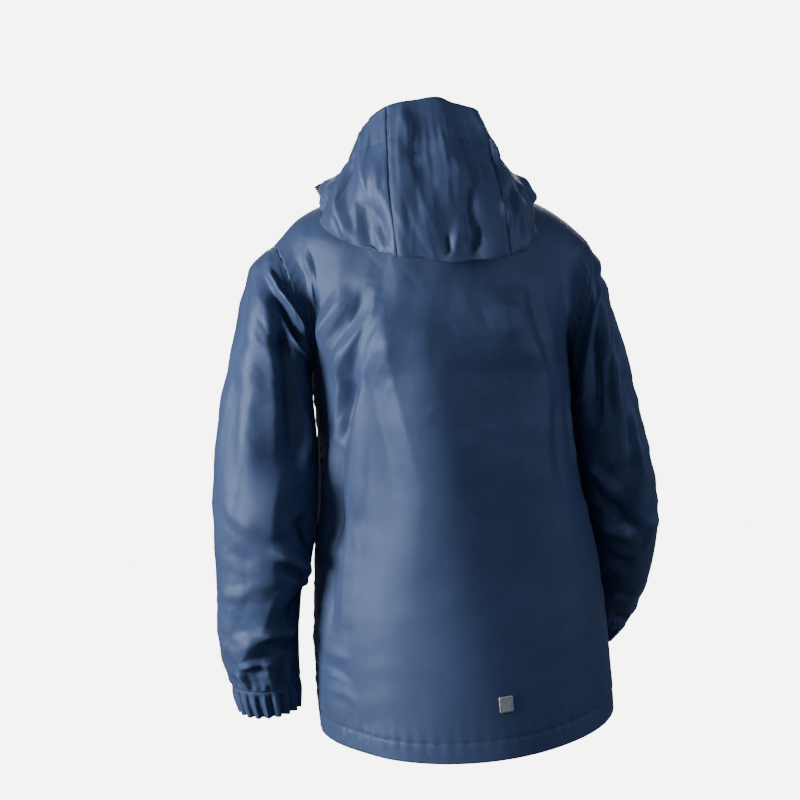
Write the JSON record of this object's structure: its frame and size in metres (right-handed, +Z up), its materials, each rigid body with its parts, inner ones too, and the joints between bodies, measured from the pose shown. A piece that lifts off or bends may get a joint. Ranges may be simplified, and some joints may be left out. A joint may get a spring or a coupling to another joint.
{
  "type": "child's hooded rain jacket",
  "caption": "Child's zip-front waterproof rain jacket as worn, with a gusseted hood lying down on the back, full sleeves and gathered elastic cuffs.",
  "frame": {"origin": "middle of the neck, level with the nape, where the wearer carries the jacket", "axes": "+Z up, -Y the way the wearer faces, +X towards the wearer's left"},
  "size_m": [0.495, 0.2842, 0.6931],
  "materials": {
    "shell_cloth": "semi-shiny coated nylon",
    "zip_tape": "woven tape",
    "reflective_tape": "grey reflective film on cloth",
    "zip_plastic": "moulded plastic"
  },
  "bodies": {
    "jacket": {"back": "shell_cloth", "front_left": "shell_cloth", "front_right": "shell_cloth", "sleeve_left": "shell_cloth", "sleeve_right": "shell_cloth", "cuff_left": "shell_cloth", "cuff_right": "shell_cloth", "hood_centre": "shell_cloth", "hood_left": "shell_cloth", "hood_right": "shell_cloth", "zip_tape_left": "zip_tape", "zip_tape_right": "zip_tape", "reflective_tab": "reflective_tape", "zip_box": "zip_plastic", "zip_slider": "zip_plastic"},
    "pull": {"zip_pull": "zip_plastic"}
  },
  "joints": [
    {"name": "pull_hinge", "type": "hinge", "parent": "jacket", "child": "pull", "pos_m": [0, -0.12118, -0.178], "axis": [-1, 0, 0], "range_deg": [0, 150]}
  ]
}
